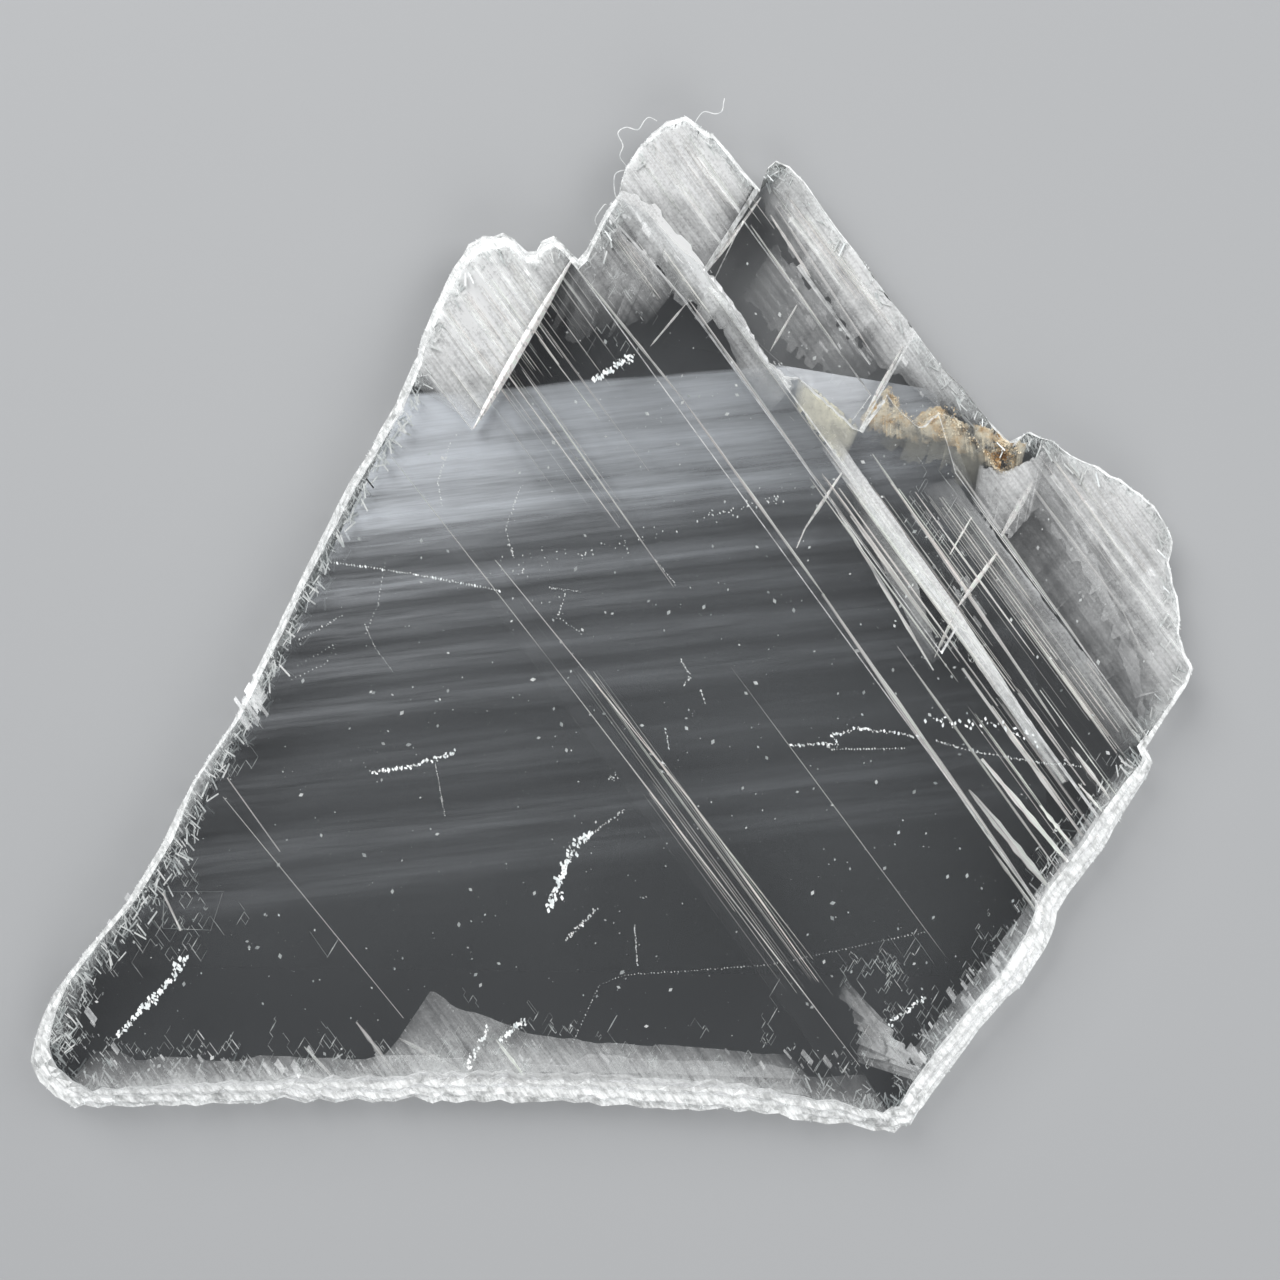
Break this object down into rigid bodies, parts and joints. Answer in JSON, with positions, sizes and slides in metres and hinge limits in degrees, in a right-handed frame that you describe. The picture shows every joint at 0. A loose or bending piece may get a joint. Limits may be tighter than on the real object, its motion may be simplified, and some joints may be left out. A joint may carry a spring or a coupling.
{
  "type": "selenite crystal slab",
  "caption": "Clear selenite cleavage slab, a flat polygonal crystal plate with broken cleavage edges and a stepped front face.",
  "frame": {"origin": "on the back cleavage face, under the middle of the slab's outline box", "axes": "+X to the right and +Y to the top of the slab as seen from the front, +Z out of the front face; it lies on its back face"},
  "size_m": [0.119, 0.1041, 0.007],
  "materials": {
    "selenite": "polished"
  },
  "bodies": {
    "root": {"selenite_slab": "selenite"}
  },
  "joints": []
}
